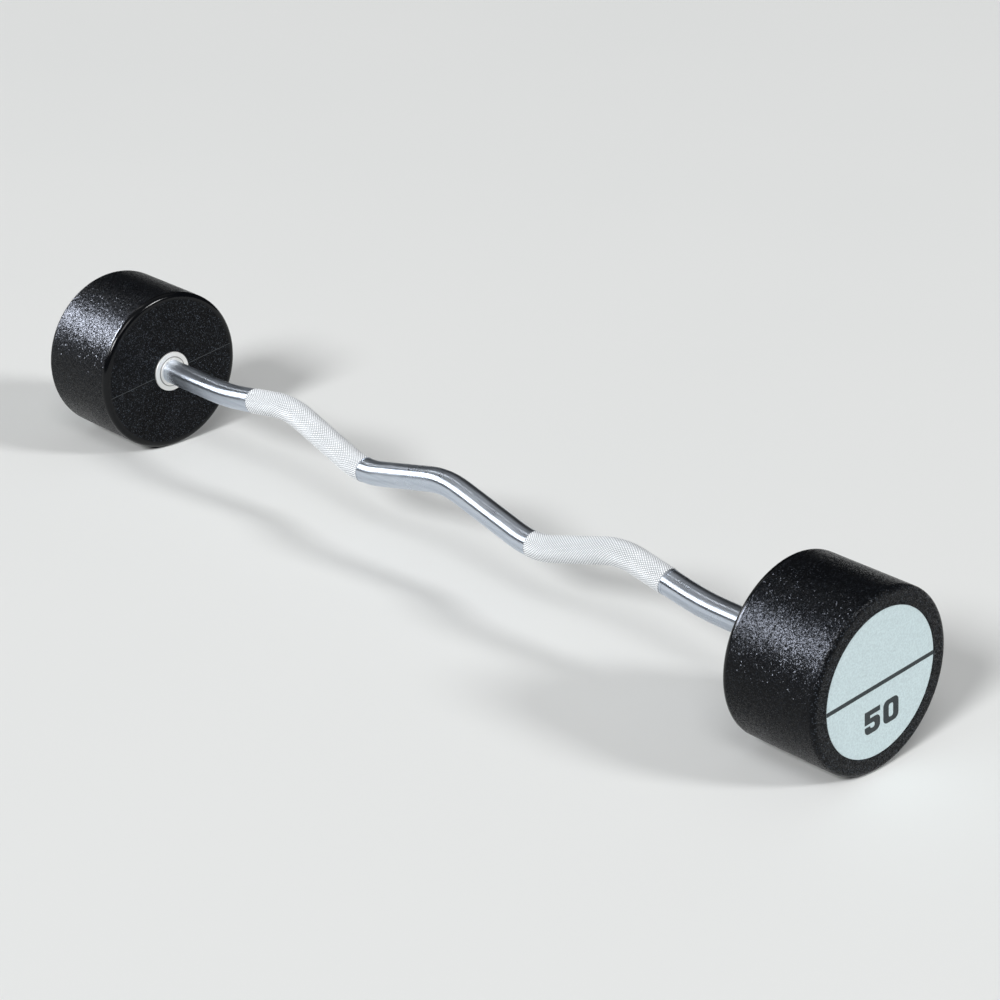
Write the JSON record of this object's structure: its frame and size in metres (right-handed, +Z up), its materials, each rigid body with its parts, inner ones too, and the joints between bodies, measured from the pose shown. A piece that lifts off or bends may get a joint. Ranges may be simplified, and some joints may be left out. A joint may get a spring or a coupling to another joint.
{
  "type": "fixed-weight ez curl barbell",
  "caption": "Curl barbell with a zigzag chromed bar, knurled grips, turned collars and a black urethane-jacketed cylindrical weight head fixed on each end.",
  "frame": {"origin": "midway between the heads on their common axis", "axes": "+X along the bar towards the right head, +Z up in the plane of the bends, centre bend upwards"},
  "size_m": [1.21, 0.192, 0.192],
  "materials": {
    "bar_chrome": "bright chrome",
    "collar_steel": "satin turned",
    "core_steel": "as turned",
    "jacket_urethane": "fine moulded grain",
    "fastener_steel": "zinc plated",
    "cover_plastic": "moulded",
    "adhesive_foam": "closed-cell foam",
    "label_print": "printed satin"
  },
  "bodies": {
    "root": {"curl_bar": "bar_chrome", "left_inner_collar": "collar_steel", "left_head_core": "core_steel", "left_head_jacket": "jacket_urethane", "left_drive_key": "fastener_steel", "left_clamp_washer": "fastener_steel", "left_lock_washer": "fastener_steel", "left_end_bolt": "fastener_steel", "left_bolt_cover": "cover_plastic", "left_label_pad": "adhesive_foam", "left_label_disc": "label_print", "right_inner_collar": "collar_steel", "right_head_core": "core_steel", "right_head_jacket": "jacket_urethane", "right_drive_key": "fastener_steel", "right_clamp_washer": "fastener_steel", "right_lock_washer": "fastener_steel", "right_end_bolt": "fastener_steel", "right_bolt_cover": "cover_plastic", "right_label_pad": "adhesive_foam", "right_label_disc": "label_print"}
  },
  "joints": []
}
